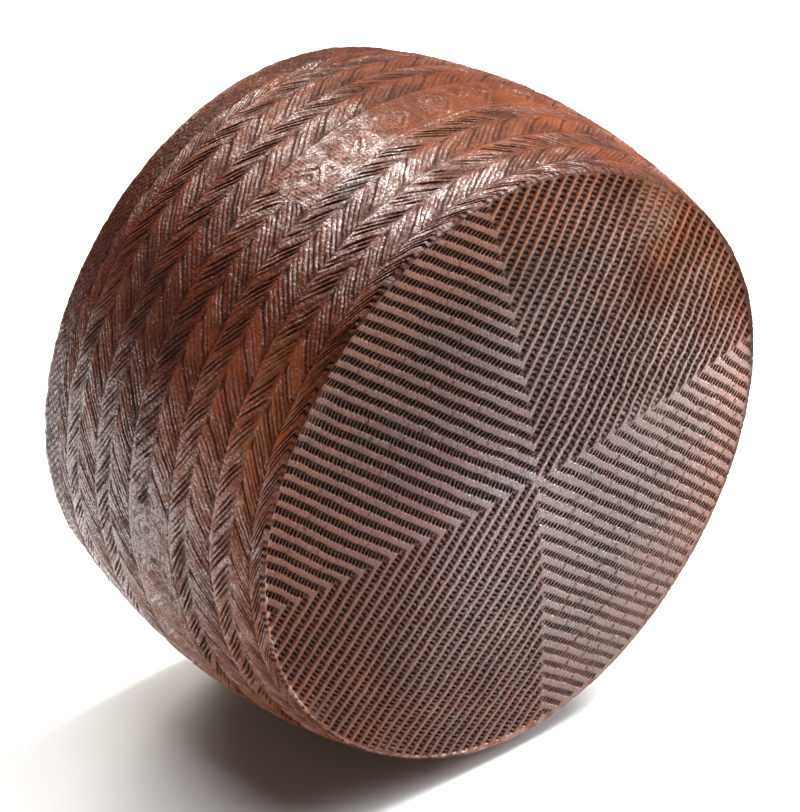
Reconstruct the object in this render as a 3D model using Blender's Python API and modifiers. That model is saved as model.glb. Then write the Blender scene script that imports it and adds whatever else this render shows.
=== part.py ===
"""A whole manchego cheese that stands on its rim, in metres, Z up.

The wheel's axis lies along Y and its shown face looks towards -Y. The origin is on the
floor, in the middle of the wheel's outer box.
"""

import math
import random

import bmesh
import bpy
from mathutils import Matrix, Vector

MM = 0.001

# The wheel
WHEEL_RADIUS = 100 * MM  # at the crown of the bulging wall
THICKNESS = 105 * MM
WALL_BULGE = 6.6 * MM  # how much smaller the radius is at the two faces
EDGE_ROUND = 1.5 * MM
FLAT_DEPTH = 0.8 * MM  # how far the rim is pressed flat where it rests
DRIFT = 0.7 * MM  # how far the edges are from round, in four slow waves
DRIFT_TURN = math.radians(100)

# The plaited band's print round the wall
STRANDS = 52  # bundles of grass round the wheel, in each half row
STRAND_DEPTH = 1.3 * MM
STRAND_LEAN = math.radians(6.8)  # how far round a bundle goes while it crosses its half row
STRAND_SHIFT = math.radians(0.35)  # how unevenly the bundles lie
CROWN_END = 0.6  # how deep a bundle's crown lies at its ends, and the seam between two
SEAM_END = 0.85  # bundles, as shares of the depth
MARGIN_SINK = 0.5  # the margins beside the plait, likewise
PRESSED_TURN = math.radians(14)  # the print is flattened this far round from the resting spot
PRESSED_FADE = math.radians(4)
PLAIT_LINES = tuple(
    s * MM for s in (1.6, 5.5, 12.5, 20, 29, 36.5, 45.5, 54.5, 64, 71.8, 81.5, 89.3, 95)
)  # from the shown face, where bundles that lean one way meet those that lean the other
BACK_EDGE_LINES = (99 * MM, 103.2 * MM)  # the cloth-printed margin behind the plait

# The two smooth panels pressed into the plait
PANEL_LINES = (PLAIT_LINES[5], PLAIT_LINES[7])
PANEL_TURNS = ((math.radians(64), math.radians(119)), (math.radians(176), math.radians(228)))
PANEL_SINK = 0.5 * MM

# The press board's print on each face: ridges in four quarters that meet in chevrons
RIDGE_PITCH = 4.1 * MM
BOARD_TURN = math.radians(-38)
BOARD_CENTRE = (6.7 * MM, -5.7 * MM)  # across and above the wheel's centre
BOARD_SQUEEZE = 9.6  # per square metre, closes the ridges up towards the edge
BOARD_BEND = 320  # pitches per square metre, bows one set of ridges
GROOVE_DEPTH = 1.3 * MM
GROOVE_MOUTH = 0.27  # half widths, in pitches
GROOVE_FLOOR = 0.17
GROOVE_RIM = 0.9 * MM  # smooth margin between the grooves and the lip
GROOVE_LEAST = 3 * MM  # no groove has arms shorter than this
LONG_GROOVES = 10  # from the cross outwards, the grooves long enough to show the bow
LIP_WIDTH = 1.3 * MM
LIP_HEIGHT = 0.6 * MM
LIP_TURN = math.radians(75)  # where the shown face's lip stands highest
LIP_DROP = 0.5 * MM  # how much lower it is on the far side

SEED = 11


def clear_scene():
    for thing in list(bpy.data.objects):
        bpy.data.objects.remove(thing)


def new_collection(name):
    collection = bpy.data.collections.new(name)
    bpy.context.scene.collection.children.link(collection)
    return collection


def rind_material():
    """Glossy chestnut brown, waxed over."""
    material = bpy.data.materials.new("rind")
    material.use_nodes = True
    shader = material.node_tree.nodes["Principled BSDF"]
    shader.inputs["Base Color"].default_value = (0.13, 0.055, 0.04, 1)
    shader.inputs["Roughness"].default_value = 0.42
    shader.inputs["Metallic"].default_value = 0
    return material


def wall_radius(s):
    """The wall's radius at s behind the shown face, without any print."""
    across = 2 * s / THICKNESS - 1
    return WHEEL_RADIUS - WALL_BULGE * across * across


def face_radius():
    return wall_radius(0) - EDGE_ROUND - LIP_WIDTH


def edge_profile():
    """(radius, s) from the shown face's lip to its wall, over a rounded edge."""
    corner = wall_radius(0) - EDGE_ROUND
    points = [(face_radius(), LIP_HEIGHT), (corner, 0)]
    slant = math.radians(45)
    points.append((corner + EDGE_ROUND * math.sin(slant), EDGE_ROUND * (1 - math.cos(slant))))
    return points


def wall_profile():
    """(radius, s) of each plait line and of the middle of each half row."""
    lines = list(PLAIT_LINES)
    stations = [lines[0]]
    for low, high in zip(lines, lines[1:]):
        stations += [(low + high) / 2, high]
    stations += BACK_EDGE_LINES
    return [(wall_radius(s), s) for s in stations]


def wheel_profile():
    front = edge_profile()
    back = [(radius, THICKNESS - s) for radius, s in reversed(front)]
    return front + wall_profile() + back


def turned_wheel(collection):
    """The plain wheel, turned about Z with the shown face up, and open at both faces."""
    profile = wheel_profile()
    mesh = bpy.data.meshes.new("wheel_profile")
    points = [(radius, 0, THICKNESS / 2 - s) for radius, s in profile]
    mesh.from_pydata(points, [(i, i + 1) for i in range(len(points) - 1)], [])
    wheel = bpy.data.objects.new("wheel_profile", mesh)
    collection.objects.link(wheel)
    screw = wheel.modifiers.new("Turn", "SCREW")
    screw.steps = 2 * STRANDS
    screw.render_steps = screw.steps
    screw.use_merge_vertices = True
    screw.merge_threshold = 0.00001
    bpy.context.view_layer.update()
    evaluated = wheel.evaluated_get(bpy.context.evaluated_depsgraph_get())
    turned = bpy.data.meshes.new_from_object(evaluated)
    bpy.data.objects.remove(wheel)
    return turned


def lean_at(s):
    """Where along the zigzag of the plait s lies, from -1 to 1."""
    lines = PLAIT_LINES
    if s <= lines[0] or s >= lines[-1]:
        return -1
    for i, (low, high) in enumerate(zip(lines, lines[1:])):
        if s <= high:
            along = (s - low) / (high - low)
            start = -1 if i % 2 == 0 else 1
            return start * (1 - 2 * along)
    return -1


def row_share(s):
    """0 on a plait line and outside the plait, 1 in the middle of a half row."""
    lines = PLAIT_LINES
    for low, high in zip(lines, lines[1:]):
        if low <= s <= high:
            return 1 - abs(2 * (s - low) / (high - low) - 1)
    return 0


def in_panel(turn, s):
    low, high = PANEL_LINES
    inside = low - MM / 10 < s < high + MM / 10
    turn %= 2 * math.pi
    return inside and any(start < turn < end for start, end in PANEL_TURNS)


def pressed(turn):
    """1 where the rim carries the wheel, fading to 0 on both sides of it."""
    away = abs(turn % math.tau - 1.5 * math.pi)
    return min(1, max(0, (PRESSED_TURN - away) / PRESSED_FADE))


def strand_sink(column, turn, s, depth):
    """How far a point of the wall lies below the tops of the bundles."""
    if not PLAIT_LINES[0] <= s <= PLAIT_LINES[-1]:
        return depth * MARGIN_SINK
    if in_panel(turn, s):
        return PANEL_SINK
    share = row_share(s)
    if column % 2:
        return depth * CROWN_END * (1 - share)
    return depth * (SEAM_END + (1 - SEAM_END) * share)


def press_plait(mesh):
    """Moves the turned wheel's points into the print of the plait."""
    draw = random.Random(SEED)
    columns = 2 * STRANDS
    depths = [STRAND_DEPTH * draw.uniform(0.8, 1.15) for _ in range(columns)]
    shifts = [draw.uniform(-STRAND_SHIFT, STRAND_SHIFT) for _ in range(columns)]
    for vertex in mesh.vertices:
        x, y, z = vertex.co
        s = THICKNESS / 2 - z
        radius = math.hypot(x, y)
        if radius < wall_radius(0) - EDGE_ROUND / 2:
            continue
        column = round(math.atan2(y, x) / math.tau * columns) % columns
        turn = column / columns * math.tau + lean_at(s) * STRAND_LEAN / 2 + shifts[column]
        held = 1 - pressed(turn)
        radius -= held * strand_sink(column, turn, s, depths[column])
        vertex.co = (radius * math.cos(turn), radius * math.sin(turn), z)


def shape_edges(mesh):
    """Lets the edges run a little out of round, and the shown face's lip rise on one side."""
    for vertex in mesh.vertices:
        x, y, z = vertex.co
        turn = math.atan2(y, x)
        out = abs(z) / (THICKNESS / 2)
        drift = DRIFT * math.cos(4 * (turn - DRIFT_TURN)) * out * out
        radius = math.hypot(x, y) + drift
        if z > THICKNESS / 2 - LIP_HEIGHT / 2:
            z -= LIP_DROP * (1 - math.cos(turn - LIP_TURN)) / 2
        vertex.co = (radius * math.cos(turn), radius * math.sin(turn), z)


def cap_faces(mesh):
    """Closes both faces with one flat polygon each."""
    cage = bmesh.new()
    cage.from_mesh(mesh)
    bmesh.ops.holes_fill(cage, edges=[e for e in cage.edges if e.is_boundary])
    bmesh.ops.recalc_face_normals(cage, faces=cage.faces)
    cage.to_mesh(mesh)
    cage.free()


def stand_on_rim(mesh):
    """Turns the axis from Z to Y, shown face to -Y, and presses the lowest stretch flat."""
    mesh.transform(Matrix.Rotation(math.pi / 2, 4, "X"))
    mesh.transform(Matrix.Translation((0, 0, WHEEL_RADIUS - FLAT_DEPTH)))
    for vertex in mesh.vertices:
        vertex.co.z = max(vertex.co.z, 0)


def board_at(x, z, bend):
    """The board's own coordinates of a point of the face, in pitches from its cross."""
    across = x - BOARD_CENTRE[0]
    up = z - BOARD_CENTRE[1]
    square = across * across + up * up
    scale = (1 + BOARD_SQUEEZE * square) / RIDGE_PITCH
    cosine, sine = math.cos(BOARD_TURN), math.sin(BOARD_TURN)
    u = (across * cosine + up * sine) * scale + bend * square
    v = (up * cosine - across * sine) * scale
    return u, v


def face_point(u, v, bend):
    """The point of the face that has these board coordinates, by Newton's method."""
    x, z = BOARD_CENTRE
    step = MM / 100
    for _ in range(12):
        here_u, here_v = board_at(x, z, bend)
        side_u, side_v = board_at(x + step, z, bend)
        up_u, up_v = board_at(x, z + step, bend)
        slopes = Matrix(((side_u - here_u, up_u - here_u), (side_v - here_v, up_v - here_v)))
        move = slopes.inverted() @ Vector((u - here_u, v - here_v)) * step
        x += move.x
        z += move.y
    return Vector((x, z))


def arm_end(level, sign_u, sign_v, along_u, bend):
    """How far out, in pitches, a groove's edge runs before it meets the smooth margin."""
    rim = face_radius() - GROOVE_RIM
    low, high = 0.0, 60.0
    for _ in range(40):
        reach = (low + high) / 2
        pair = (sign_u * reach, sign_v * level) if along_u else (sign_u * level, sign_v * reach)
        if face_point(*pair, bend).length < rim:
            low = reach
        else:
            high = reach
    return low


def arm_line(level, sign_u, sign_v, along_u, bend, pieces):
    """Points on one edge of a groove's arm, from its corner out to the margin."""
    end = arm_end(level, sign_u, sign_v, along_u, bend)
    if (end - level) * RIDGE_PITCH < GROOVE_LEAST:
        return None
    points = []
    for i in range(pieces + 1):
        reach = level + (end - level) * i / pieces
        pair = (sign_u * reach, sign_v * level) if along_u else (sign_u * level, sign_v * reach)
        points.append(face_point(*pair, bend))
    return points


def groove_outline(step, half, sign_u, sign_v, bend, pieces):
    """One chevron's outline on the face at a half width in pitches, or None past the edge."""
    inner = step + 0.5 - half
    outer = step + 0.5 + half
    arms = [
        arm_line(level, sign_u, sign_v, along_u, bend, pieces)
        for level in (outer, inner)
        for along_u in (True, False)
    ]
    if None in arms:
        return None
    return arms[0][::-1] + arms[1][1:] + arms[3][::-1] + arms[2][1:]


def add_groove(cage, mouth, floor, bottom, top):
    """A channel with sloping sides between its floor's outline and its mouth's."""
    low = [cage.verts.new((p.x, bottom, p.y)) for p in floor]
    high = [cage.verts.new((p.x, top, p.y)) for p in mouth]
    count = len(low)
    cage.faces.new(low)
    cage.faces.new(high[::-1])
    for i in range(count):
        j = (i + 1) % count
        cage.faces.new((low[j], low[i], high[i], high[j]))


def board_print(name, collection, front, bend):
    """All the channels that the press board leaves in one face, as one cutter."""
    cage = bmesh.new()
    side = -1 if front else 1
    plane = side * (THICKNESS / 2 - LIP_HEIGHT)
    clear = GROOVE_DEPTH / 4
    slope = (GROOVE_MOUTH - GROOVE_FLOOR) / GROOVE_DEPTH
    for sign_u in (-1, 1):
        for sign_v in (-1, 1):
            for step in range(int(WHEEL_RADIUS / RIDGE_PITCH)):
                pieces = 2 if bend and step < LONG_GROOVES else 1
                shape = (sign_u, sign_v, bend, pieces)
                mouth = groove_outline(step, GROOVE_MOUTH + slope * clear, *shape)
                floor = groove_outline(step, GROOVE_FLOOR, *shape)
                if mouth and floor:
                    bottom = plane - side * GROOVE_DEPTH
                    add_groove(cage, mouth, floor, bottom, plane + side * clear)
    bmesh.ops.translate(cage, verts=cage.verts, vec=(0, 0, WHEEL_RADIUS - FLAT_DEPTH))
    bmesh.ops.recalc_face_normals(cage, faces=cage.faces)
    mesh = bpy.data.meshes.new(name)
    cage.to_mesh(mesh)
    cage.free()
    cutter = bpy.data.objects.new(name, mesh)
    cutter.hide_render = True
    cutter.display_type = "WIRE"
    collection.objects.link(cutter)
    return cutter


def cut(solid, cutter):
    boolean = solid.modifiers.new(cutter.name, "BOOLEAN")
    boolean.operation = "DIFFERENCE"
    boolean.solver = "EXACT"
    boolean.object = cutter


def cheese_wheel(collection, cutters):
    mesh = turned_wheel(collection)
    press_plait(mesh)
    shape_edges(mesh)
    cap_faces(mesh)
    stand_on_rim(mesh)
    mesh.name = "cheese_wheel"
    mesh.shade_smooth()
    mesh.set_sharp_from_angle(angle=math.radians(35))
    mesh.materials.append(rind_material())
    wheel = bpy.data.objects.new("cheese_wheel", mesh)
    collection.objects.link(wheel)
    cut(wheel, board_print("front_grooves", cutters, True, BOARD_BEND))
    cut(wheel, board_print("back_grooves", cutters, False, 0))
    return wheel


def main():
    clear_scene()
    parts = new_collection("manchego_cheese")
    cutters = new_collection("cutters")
    cheese_wheel(parts, cutters)


main()
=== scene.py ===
"""The looks of a whole manchego cheese that stands on its rim, in metres, Z up.

The wheel's axis lies along Y and its shown face looks towards -Y. A turn is an angle round
the axis, seen from the shown face: 0 towards +X and a quarter turn straight up. The letter
s is the distance behind the plane of the shown face. Every point of the rind lies on one
lattice that follows the ridges and the strands, and each piece takes a part of it.
"""

import math

import bpy
import numpy as np
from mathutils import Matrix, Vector


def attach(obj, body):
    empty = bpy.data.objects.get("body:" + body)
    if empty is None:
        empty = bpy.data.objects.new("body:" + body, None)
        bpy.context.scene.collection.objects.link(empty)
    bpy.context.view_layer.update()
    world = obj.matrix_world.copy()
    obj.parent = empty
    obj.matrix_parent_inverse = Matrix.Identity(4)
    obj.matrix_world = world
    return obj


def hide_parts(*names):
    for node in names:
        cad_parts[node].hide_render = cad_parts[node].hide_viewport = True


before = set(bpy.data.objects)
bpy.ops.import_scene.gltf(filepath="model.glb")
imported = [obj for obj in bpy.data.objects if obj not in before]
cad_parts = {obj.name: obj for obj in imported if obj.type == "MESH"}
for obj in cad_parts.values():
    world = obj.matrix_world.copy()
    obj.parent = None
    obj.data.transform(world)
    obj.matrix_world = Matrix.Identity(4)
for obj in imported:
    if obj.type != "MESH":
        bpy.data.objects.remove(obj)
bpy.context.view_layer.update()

MM = 0.001
TAU = math.tau
DEG = math.radians(1)

# The wheel, as the solid has it
WHEEL_RADIUS = 100 * MM
THICKNESS = 105 * MM
WALL_BULGE = 6.6 * MM
EDGE_ROUND = 1.5 * MM
FLAT_DEPTH = 0.8 * MM
CENTRE_HEIGHT = WHEEL_RADIUS - FLAT_DEPTH
DRIFT = 0.7 * MM
DRIFT_TURN = math.radians(100)
LIP_WIDTH = 0.9 * MM
LIP_HEIGHT = 0.6 * MM
LIP_TURN = math.radians(75)
LIP_DROP = 0.5 * MM
EDGE_SHARP = 0.7 * MM  # how much further out than the solid's the rind's edge is sharp

# The press board's print
RIDGE_PITCH = 4.1 * MM
BOARD_TURN = math.radians(-38)
BOARD_CENTRE = (6.7 * MM, -5.7 * MM)
BOARD_SQUEEZE = 9.6
BOARD_BEND = 320
RIDGE_HALF = 0.235  # half a ridge's flat top, in pitches
FINE_COLUMNS = (-0.4, -0.3, -0.235, -0.17, 0, 0.17, 0.235, 0.3, 0.4, 0.5)
COARSE_COLUMNS = (-0.36, -0.235, 0, 0.235, 0.36, 0.5)
RIDGE_WIDTHS = (0.165, 0.215, 0.19, 0.2)  # half a ridge in each quarter, in pitches
BEAD_PITCHES = (1.83 * MM, 1.63 * MM, 1.58 * MM, 1.56 * MM)
BEAD_BEATS = (0, 0.26, 0.4, 0.6, 0.74)  # a gap, then a bar's side, its top and its other side
BACK_BEAD_BEATS = (0, 0.35, 0.65)
BAR_DEPTHS = (0.55, 0.3, 0.5, 0.52)  # in millimetres under the ridges
GAP_BOTTOM = 1.2  # in millimetres
BEAT_PLACES = (0, 0.26, 0.4, 0.6, 0.74, 1)
BEAT_GAPS = (1, 0.15, 0, 0, 0.15, 1)  # how open the groove is at those places of a bead
GROOVE_PLACES = (0, 0.17, 0.235, 0.3, 0.4, 0.5)
BAR_SHAPE = (0, 0.03, 0.25, 0.85, 1.0, 0.9)  # a bar's depth, from the ridge's middle outwards
GAP_SHAPE = (0, 0.03, 0.4, 0.86, 1.0, 1.0)
CRACKS = ((0.35, 0.4), (1.0, 0.6), (0.3, 0.4), (0.5, 0.4))  # chance and depth in each quarter
CRACK_WIDTH = 0.085  # in pitches
FACE_WANDER = ((22 * MM, 0.3 * MM), (7 * MM, 0.2 * MM), (2.6 * MM, 0.13 * MM))
FACE_ROUGH = ((1.7 * MM, 0.05), (0.7 * MM, 0.02))
BEAD_SLANTS = ((0.28, -0.13), (-0.18, -0.28), (-0.07, -0.22), (0.23, -0.38))

# The plaited band's print
STRANDS = 52
RIBS = 5  # straws side by side in a strand
RIB_COLUMNS = (0, 0.16, 0.38, 0.62, 0.84)
RIB_GAPS = (1, 0.35, 0, 0, 0.35)  # how open the gap between two straws is at those columns
STRAND_LEAN = math.radians(6.8)
STRAND_SHIFT = math.radians(0.35)
PLAIT_LINES = tuple(
    s * MM for s in (1.6, 5.5, 12.5, 20, 29, 36.5, 45.5, 54.5, 64, 71.8, 81.5, 89.3, 95)
)
BACK_EDGE = 103.2 * MM
ROW_PARTS = (0, 0.07, 0.17, 0.3, 0.43, 0.57, 0.7, 0.83, 0.93)  # where a row's rings lie
NARROW_ROW = 6 * MM
NARROW_RINGS = 7
PANEL_RINGS = 15  # in each of the panel's two rows
MARGIN_RINGS = 12
PRESSED_TURN = math.radians(14)
PRESSED_FADE = math.radians(4)
STRAND_WANDER = ((14 * MM, 0.8 * MM), (5 * MM, 0.35 * MM), (2 * MM, 0.12 * MM))
ROW_WANDER = ((11 * MM, 0.6 * MM), (4 * MM, 0.25 * MM))
WALL_ROUGH = ((2.4 * MM, 0.1), (1.1 * MM, 0.11))
EDGE_ROUGH = ((4 * MM, 0.2), (1.5 * MM, 0.2))

# The two panels in the band
PANEL_LINES = (PLAIT_LINES[5], PLAIT_LINES[7])
PANEL_TURNS = ((math.radians(64), math.radians(119)), (math.radians(176), math.radians(228)))
PANEL_SINK = 0.5  # in millimetres
PANEL_CELL = math.radians(9.1)

# Where the rind is rusty, copper or sooty
RUST_TURN = math.radians(46)
RUST_TWIST = math.radians(16)
COPPER_TURN = math.radians(134)
SOOT_TURN = math.radians(153)
SOOT_PLACE = 72 * MM

# Where the coat is made stronger on the shown face as painted sheen: how much, x, z and how far it
# reaches
SHEEN_SPOTS = (
    (0.32, -10 * MM, -24 * MM, 34 * MM),
    (0.20, 80 * MM, 22 * MM, 30 * MM),
    (0.22, 10 * MM, 42 * MM, 22 * MM),
)

SEED = 11


def smooth(value):
    """0 below 0, 1 above 1 and an even curve between."""
    value = np.clip(value, 0, 1)
    return value * value * (3 - 2 * value)


def rise(value, start, length):
    """0 up to the start, 1 from a length past it, and an even curve between."""
    return smooth((value - start) / length)


def fall(value, end, length):
    """1 until a length before the end, 0 from the end on, and an even curve between."""
    return smooth((end - value) / length)


def noise(points, size, seed):
    """Smooth noise from -1 to 1, with bumps about one size across."""
    side = 32
    table = np.random.default_rng(seed).uniform(-1, 1, (side, side, side))
    where = points / size
    cell = np.floor(where).astype(int)
    part = smooth(where - cell)
    total = np.zeros(len(points))
    for corner in np.ndindex(2, 2, 2):
        weight = np.prod(np.where(corner, part, 1 - part), axis=1)
        total += weight * table[tuple(((cell + corner) % side).T)]
    return total


def flat_noise(a, b, size, seed):
    """The same noise over two coordinates."""
    return noise(np.stack([a, b, np.full_like(a, seed * 0.37)], 1), size, seed)


def mixed_noise(points, sizes, seed):
    """Several sizes of noise together, each with an amplitude."""
    return sum(share * noise(points, size, seed + i) for i, (size, share) in enumerate(sizes))


# Outline of the wheel


def wall_radius(s):
    across = 2 * s / THICKNESS - 1
    return WHEEL_RADIUS - WALL_BULGE * across * across


def edge_drift(turn, s):
    """How far the wheel's edges are from round."""
    out = np.abs(2 * s / THICKNESS - 1)
    return DRIFT * np.cos(4 * (turn - DRIFT_TURN)) * out * out


def edge_radius(turn):
    """Where the flat of the face ends in the rounded edge."""
    return wall_radius(0) - EDGE_ROUND + EDGE_SHARP + edge_drift(turn, 0)


def lip_crest(turn):
    """How far the lip's crest lies behind the plane of the shown face."""
    return LIP_DROP * (1 - np.cos(turn - LIP_TURN)) / 2


def face_depth(radius, turn):
    """The face's depth without its print: flat, and raised to a lip at the edge."""
    rise = smooth((radius - edge_radius(turn) + LIP_WIDTH) / LIP_WIDTH)
    return LIP_HEIGHT + (lip_crest(turn) - LIP_HEIGHT) * rise


def pressed(turn):
    """1 where the rim carries the wheel, fading to 0 on both sides of it."""
    away = np.abs(turn % TAU - 0.75 * TAU)
    return np.clip((PRESSED_TURN - away) / PRESSED_FADE, 0, 1)


def print_radius(turn):
    """Where the board's print ends in the smooth margin."""
    low_right = smooth((np.cos(turn + math.radians(50)) - 0.45) / 0.5)
    top = smooth((np.cos(turn - math.radians(65)) - 0.5) / 0.4)
    wander = flat_noise(np.cos(turn), np.sin(turn), 0.35, SEED)
    finer = flat_noise(np.cos(turn), np.sin(turn), 0.08, SEED + 1)
    margin = 0.2 + 0.7 * low_right + 0.5 * top + 0.35 * wander + 0.35 * finer
    return edge_radius(turn) - np.maximum(margin, 0.3) * MM


# The press board's print


def board_place(u, v, bend):
    """The points of the face that have these board coordinates, found by going round."""
    cosine, sine = math.cos(BOARD_TURN), math.sin(BOARD_TURN)
    flat_u = np.array(u, float)
    flat_v = np.array(v, float)
    for _ in range(36):
        square = (flat_u**2 + flat_v**2) * RIDGE_PITCH**2
        scale = 1 + BOARD_SQUEEZE * square
        flat_u = (u - bend * square) / scale
        flat_v = v / scale
    across = (flat_u * cosine - flat_v * sine) * RIDGE_PITCH
    up = (flat_u * sine + flat_v * cosine) * RIDGE_PITCH
    return across + BOARD_CENTRE[0], up + BOARD_CENTRE[1]


def turned_quarter(quarter, across, along):
    """Board coordinates of a place in one quarter: across its ridges and along them."""
    return (
        (across, along),
        (along, -across),
        (-across, -along),
        (-along, across),
    )[quarter]


class Lattice:
    """The points of one face's print, collected column by column."""

    def __init__(self, columns, beats, bend):
        self.bend = bend
        self.beads = [pitch / RIDGE_PITCH for pitch in BEAD_PITCHES]
        self.beats = beats
        reach = int(1.1 * WHEEL_RADIUS / RIDGE_PITCH)
        self.reach = reach
        self.phases = np.random.default_rng(SEED + 9).uniform(-0.3, 0.3, (4, 2 * reach + 2))
        ridges = range(-reach, reach + 1)
        places = sorted(n + place for n in ridges for place in columns if place or n == 0)
        self.columns = np.array([p for p in places if abs(p) <= reach])
        self.rows = []
        self.triangles = []
        self.shared = {}
        self.rim = []

    def add(self, quarter, across, along, beat, held):
        """Adds one point and returns its number. held keeps a point where it is."""
        self.rows.append((quarter, across, along, beat, held))
        return len(self.rows) - 1

    def add_shared(self, key, quarter, across, along, held):
        """A point on the line between two quarters, which both of them use."""
        if key not in self.shared:
            self.shared[key] = self.add(quarter, across, along, 0.5, held)
        return self.shared[key]


def stitched(left, left_at, right, right_at):
    """Triangles between two rows of points, each with its place along the row."""
    found = []
    i = j = 0
    while i < len(left) - 1 or j < len(right) - 1:
        at_end = j == len(right) - 1
        if at_end or (i < len(left) - 1 and left_at[i + 1] <= right_at[j + 1]):
            found.append((left[i], right[j], left[i + 1]))
            i += 1
        else:
            found.append((left[i], right[j], right[j + 1]))
            j += 1
    return found


def rim_reach(lattice, quarter, across, diagonal=False):
    """How far out each column runs before it meets the smooth margin."""
    low = np.zeros(len(across))
    high = np.full(len(across), 1.15 * WHEEL_RADIUS / RIDGE_PITCH)
    for _ in range(36):
        middle = (low + high) / 2
        side = middle * np.sign(across) if diagonal else across
        x, z = board_place(*turned_quarter(quarter, side, middle), lattice.bend)
        inside = np.hypot(x, z) < print_radius(np.arctan2(z, x))
        low = np.where(inside, middle, low)
        high = np.where(inside, high, middle)
    return low


def groove_side(place):
    """How far a column lies from the middle of its groove, in pitches, and its ridge."""
    ridge = np.round(place)
    off = place - ridge
    return np.where(off > 0, off - 0.5, off + 0.5), ridge


def slanted(off, slant):
    """How far along its ridge a column's points are set off, so that beads lie at a slant."""
    edge = 0.5 - RIDGE_HALF
    size = np.abs(off)
    inner = np.where(size < edge, size, edge * (0.5 - size) / (0.5 - edge))
    return slant * np.sign(off) * inner


def uneven_step(beads, phase):
    """How far a bead is set off along its groove, in beads."""
    return 0.12 * math.sin(0.7 * beads + phase) + 0.07 * math.sin(1.3 * beads + 2.3 * phase)


def lay_quarter(lattice, quarter, slant):
    """Lays the columns of one quarter and joins each to the next."""
    bead_length = lattice.beads[quarter]
    step = bead_length / len(lattice.beats)
    reach = rim_reach(lattice, quarter, lattice.columns)
    kept = reach > np.abs(lattice.columns) + step / 2
    columns, reach = lattice.columns[kept], reach[kept]
    offs, _ = groove_side(columns)
    shifts = slanted(offs, np.where(columns < 0, *slant))
    grooves = np.floor(columns).astype(int) + lattice.reach
    shifts = shifts + lattice.phases[quarter, grooves] * bead_length
    corner_reach = rim_reach(lattice, quarter, np.array([-1.0, 1.0]), True)
    strips = []
    left_key, right_key = (quarter - 1) % 4, quarter
    for side, key, far in ((-1, left_key, corner_reach[0]), (1, right_key, corner_reach[1])):
        corner = lattice.add_shared(("corner", key), quarter, side * far, far, 1)
        strips.append(([corner], [far]))
    phases = 40 * lattice.phases[quarter, grooves]
    for column, end, shift, phase in zip(columns, reach, shifts, phases):
        start = abs(column)
        if start < 1e-9:
            key = "cross"
        else:
            key = (right_key if column > 0 else left_key, round(start, 6))
        numbers = [lattice.add_shared(key, quarter, column, start, 0)]
        first = math.ceil((start + 0.8 * step - shift) / step)
        last = math.floor((end - 0.8 * step - shift) / step)
        places = [start]
        for beat in range(first, last + 1):
            bead, part = divmod(beat, len(lattice.beats))
            along = (bead + lattice.beats[part]) * bead_length + shift
            inner = min(1, (along - start) / (3 * bead_length), (end - along) / (3 * bead_length))
            along += bead_length * inner * uneven_step(along / bead_length, phase)
            numbers.append(lattice.add(quarter, column, along, lattice.beats[part], 0))
            places.append(along)
        numbers.append(lattice.add(quarter, column, end, 0.5, 1))
        places.append(end)
        strips.insert(-1, (numbers, places))
    found = []
    for left, right in zip(strips, strips[1:]):
        found += stitched(*left, *right)
    lattice.triangles.append(found)
    lattice.rim += [numbers[-1] for numbers, _ in strips[:-1]]


def ridge_half_width(quarter, ridge, side, along, centre_far):
    """Half a ridge's width at a place along it, on one of its sides."""
    wave = flat_noise(ridge * 7.3 + side * 2.1, along, 0.9, SEED + 2)
    slow = flat_noise(ridge * 1.7 + side * 0.6, along, 4.0, SEED + 3)
    broad = 0.05 * np.exp(-((centre_far / (24 * MM)) ** 2))
    return np.array(RIDGE_WIDTHS)[quarter] + 0.028 * wave + 0.025 * slow + broad


def crack_depth(quarter, ridge, along, across):
    """Thin cracks across the ridges, most of them in the lower right quarter."""
    depth = np.zeros(len(along))
    for number, (chance, deep) in enumerate(CRACKS):
        draw = np.random.default_rng(SEED + 20 + number)
        for n in np.unique(ridge[quarter == number]):
            picked = np.flatnonzero((quarter == number) & (ridge == n))
            start = abs(n) + draw.uniform(0.5, 2)
            places = start + np.cumsum(draw.uniform(1.5, 4.2, 16))
            places = places[draw.random(len(places)) < chance]
            if not len(places):
                continue
            slope = draw.uniform(-0.6, 0.6)
            here = along[picked] + slope * (across[picked] - n)
            away = np.abs(here[:, None] - places[None, :]).min(1)
            depth[picked] = deep * np.exp(-((away / CRACK_WIDTH) ** 2))
    return depth


def print_place(rows, free, bend):
    """Where a lattice's points lie on the face once each ridge has its own width."""
    quarter, across, along = rows[:, 0].astype(int), rows[:, 1], rows[:, 2]
    _, ridge = groove_side(across)
    side = np.sign(across - ridge)
    place = np.abs(across - ridge)
    far = np.hypot(across, along) * RIDGE_PITCH
    half = ridge_half_width(quarter, ridge, side, along, far)
    bent = np.where(
        place <= RIDGE_HALF,
        place / RIDGE_HALF * half,
        half + (place - RIDGE_HALF) * (0.5 - half) / (0.5 - RIDGE_HALF),
    )
    moved = ridge + side * (place + (bent - place) * free)
    u = np.zeros(len(rows))
    v = np.zeros(len(rows))
    for number in range(4):
        picked = quarter == number
        u[picked], v[picked] = turned_quarter(number, moved[picked], along[picked])
    return board_place(u, v, bend)


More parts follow.
